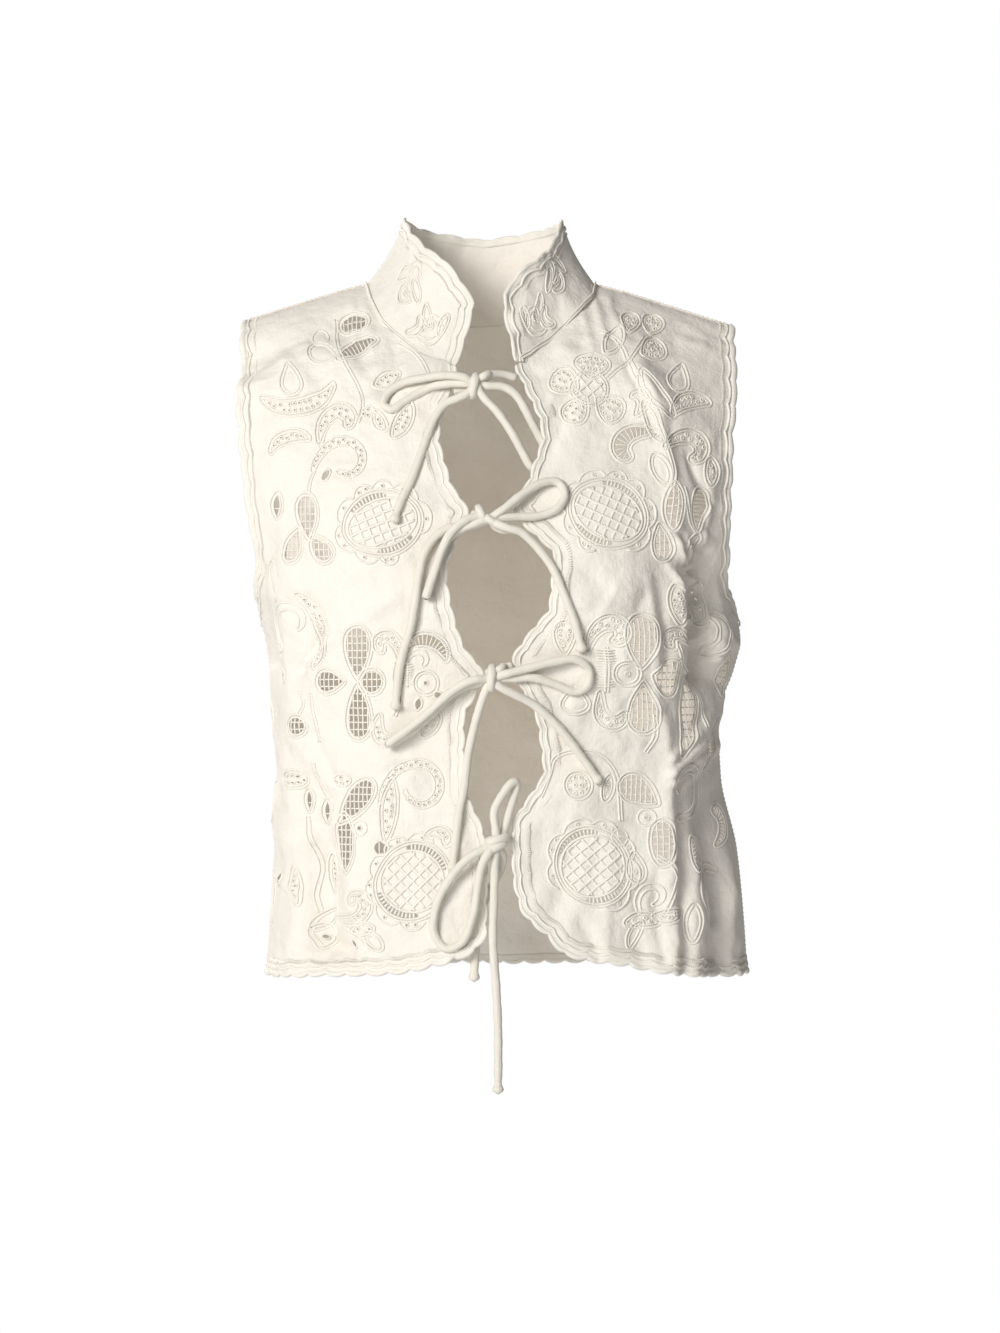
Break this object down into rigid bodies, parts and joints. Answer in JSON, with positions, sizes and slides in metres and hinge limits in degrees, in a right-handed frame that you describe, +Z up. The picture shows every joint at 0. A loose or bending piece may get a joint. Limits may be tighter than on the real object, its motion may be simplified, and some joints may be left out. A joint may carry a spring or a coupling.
{
  "type": "sleeveless tie-front top with a stand collar",
  "caption": "Worn, hollow cutwork linen top: sleeveless, open front held by cord bows, stand collar, scalloped corded edges.",
  "frame": {"origin": "between the shoulders, midway from front to back, at the height of the two neck points, where the wearer's shoulders hold the garment", "axes": "+Z up, -Y towards the wearer's front, +X towards the wearer's left"},
  "size_m": [0.3493, 0.2426, 0.5938],
  "materials": {
    "linen": "ivory plain-weave linen with couched-cord cutwork embroidery in the same colour",
    "border_cord": "ivory scalloped edge, overcast and corded",
    "tie_linen": "ivory rouleau cord of smooth linen, slightly greyer than the cloth"
  },
  "bodies": {
    "root": {"right_front": "linen", "left_front": "linen", "back": "linen", "collar": "linen", "border_right_front": "border_cord", "border_left_front": "border_cord", "border_back_hem": "border_cord", "border_right_armhole": "border_cord", "border_left_armhole": "border_cord", "border_collar": "border_cord", "knot_1": "tie_linen", "knot_2": "tie_linen", "knot_3": "tie_linen", "knot_4": "tie_linen", "tie_1_right_lead": "tie_linen", "tie_1_right_loop": "tie_linen", "tie_1_left_lead": "tie_linen", "tie_1_left_loop": "tie_linen", "tie_1_left_tail": "tie_linen", "tie_2_right_lead": "tie_linen", "tie_2_right_loop": "tie_linen", "tie_2_right_tail": "tie_linen", "tie_2_left_lead": "tie_linen", "tie_2_left_loop": "tie_linen", "tie_2_left_tail": "tie_linen", "tie_3_right_loop": "tie_linen", "tie_3_right_tail": "tie_linen", "tie_3_left_lead": "tie_linen", "tie_3_left_loop": "tie_linen", "tie_3_left_tail": "tie_linen", "tie_4_right_loop": "tie_linen", "tie_4_right_tail": "tie_linen", "tie_4_left_loop": "tie_linen", "tie_4_left_tail": "tie_linen"}
  },
  "joints": []
}
